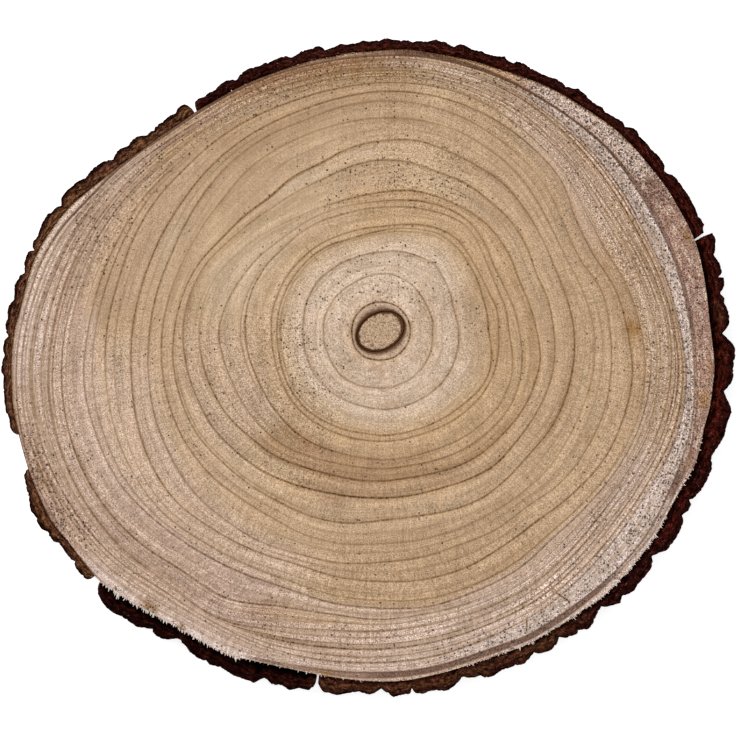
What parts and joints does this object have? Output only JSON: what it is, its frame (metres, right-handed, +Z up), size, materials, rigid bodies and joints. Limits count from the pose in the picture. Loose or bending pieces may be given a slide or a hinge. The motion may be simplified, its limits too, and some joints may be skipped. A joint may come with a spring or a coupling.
{
  "type": "wood slice",
  "caption": "Round slice sawn across a trunk, lying flat: grained wood disc, soft oval pith and knobbly dark bark round the rim.",
  "frame": {"origin": "on the floor, under the middle of the slice's bounding box", "axes": "+Z up along the grain, from the lower sawn face to the upper one; +X to the right of the upper face as pictured, along the widest way across; +Y up the picture"},
  "size_m": [0.3002, 0.2696, 0.025],
  "materials": {
    "wood": "sawn across the grain, dry and matt",
    "pith": "soft, crumbly and matt",
    "bark": "rough dark maroon bark, matt",
    "left_bark": "rough brown bark, matt"
  },
  "bodies": {
    "root": {"wood": "wood", "pith": "pith", "bark_top": "bark", "bark_left": "left_bark", "bark_lower_left": "left_bark", "bark_bottom": "bark", "bark_right": "bark"}
  },
  "joints": []
}
